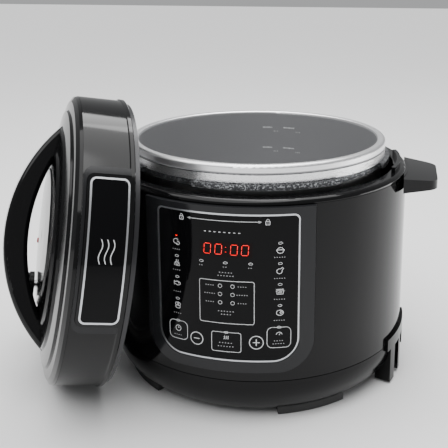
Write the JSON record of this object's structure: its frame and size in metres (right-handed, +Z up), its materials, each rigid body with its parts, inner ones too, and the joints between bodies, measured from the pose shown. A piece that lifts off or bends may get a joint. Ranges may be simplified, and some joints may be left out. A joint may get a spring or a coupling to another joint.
{
  "type": "electric pressure cooker",
  "caption": "Electric pressure cooker with a glossy black body, a touch panel with a red clock, an open pot, and its lid with an arched handle standing on edge beside it.",
  "frame": {"origin": "on the floor, under the axis of the cooking pot", "axes": "+Z up along the pot's axis, the control panel faces -Y, the side handles lie along X"},
  "size_m": [0.3854, 0.366, 0.2545],
  "materials": {
    "gloss_black": "gloss",
    "satin_black": "satin",
    "dark_grey": "satin",
    "silver_trim": "satin",
    "panel_black": "gloss",
    "pot_coating": "satin",
    "aluminium": "satin",
    "grey_metal": "satin",
    "steel": "satin",
    "rubber_black": "matte",
    "silicone": "matte",
    "board_green": "satin",
    "display_dark": "gloss",
    "brass_pins": "satin",
    "cup_clear": "gloss",
    "float_red": "gloss"
  },
  "bodies": {
    "housing": {"base_ring": "satin_black", "bottom_cover": "satin_black", "bottom_screws": "steel", "foot_1": "rubber_black", "foot_2": "rubber_black", "foot_3": "rubber_black", "foot_4": "rubber_black", "housing_wall": "gloss_black", "top_ring": "gloss_black", "outer_pot": "aluminium", "bayonet_ring": "grey_metal", "heating_plate": "aluminium", "heater_tube": "steel", "sensor_bracket": "steel", "sensor_spring": "steel", "panel_bezel": "dark_grey", "panel_frame": "silver_trim", "panel_overlay": "panel_black", "control_board": "board_green", "display_module": "display_dark", "power_board": "board_green", "inlet_socket": "satin_black", "inlet_pins": "brass_pins", "cup_pegs": "satin_black", "cord_hooks": "satin_black"},
    "pot": {"inner_pot": "pot_coating"},
    "sensor": {"sensor_head": "aluminium"},
    "cup": {"condensate_cup": "cup_clear"},
    "lid_ball": {"lid_pivot_ball": "steel"},
    "lid_pin": {"lid_pivot_pin": "steel"},
    "lid": {"lid_skirt": "gloss_black", "lid_cover": "gloss_black", "lid_handle": "gloss_black", "handle_pad": "satin_black", "lid_surround": "dark_grey", "lid_block": "gloss_black", "lid_plate_frame": "silver_trim", "lid_plate": "panel_black", "inner_lid": "aluminium", "lid_rim": "grey_metal", "lid_screws": "steel", "sealing_ring": "silicone", "seal_rack": "steel", "vent_pipe": "steel", "vent_shield": "steel", "float_seal": "silicone", "lid_pivot_cup": "steel"},
    "knob": {"vent_knob": "satin_black"},
    "float": {"float_pin": "float_red"}
  },
  "joints": [
    {"name": "lid_carry", "type": "hinge", "parent": "housing", "child": "lid_ball", "pos_m": [-0.10143, -0.05393, 0.2275], "axis": [-0.4695, 0.8829, 0], "range_deg": [0, 237.65]},
    {"name": "lid_level", "type": "hinge", "parent": "lid_ball", "child": "lid_pin", "pos_m": [-0.1557, -0.08278, 0.13046], "axis": [-0.4695, 0.8829, 0], "range_deg": [-156.85, 0]},
    {"name": "lid_turn", "type": "hinge", "parent": "lid_pin", "child": "lid", "pos_m": [-0.1557, -0.08278, 0.13046], "axis": [-0.8716, -0.4634, 0.1599], "range_deg": [-43, 0]},
    {"name": "pot_lift", "type": "slide", "parent": "housing", "child": "pot", "axis": [0, 0, -1], "range_m": [-0.2, 0]},
    {"name": "sensor_press", "type": "slide", "parent": "housing", "child": "sensor", "axis": [0, 0, 1], "range_m": [-0.0025, 0], "stiffness_N_per_m": 600, "springref_m": 0.004, "deforming": ["sensor_spring"]},
    {"name": "cup_pull", "type": "slide", "parent": "housing", "child": "cup", "axis": [0, 1, 0], "range_m": [0, 0.05]},
    {"name": "vent_turn", "type": "hinge", "parent": "lid", "child": "knob", "pos_m": [-0.19483, -0.07988, 0.08191], "axis": [-0.8716, -0.4634, 0.1599], "range_deg": [0, 60]},
    {"name": "float_rise", "type": "slide", "parent": "lid", "child": "float", "axis": [-0.8716, -0.4634, 0.1599], "range_m": [0, 0.003]}
  ],
  "couplings": [
    {"joint": "lid_level", "follows": "lid_carry", "ratio": -0.66001}
  ]
}
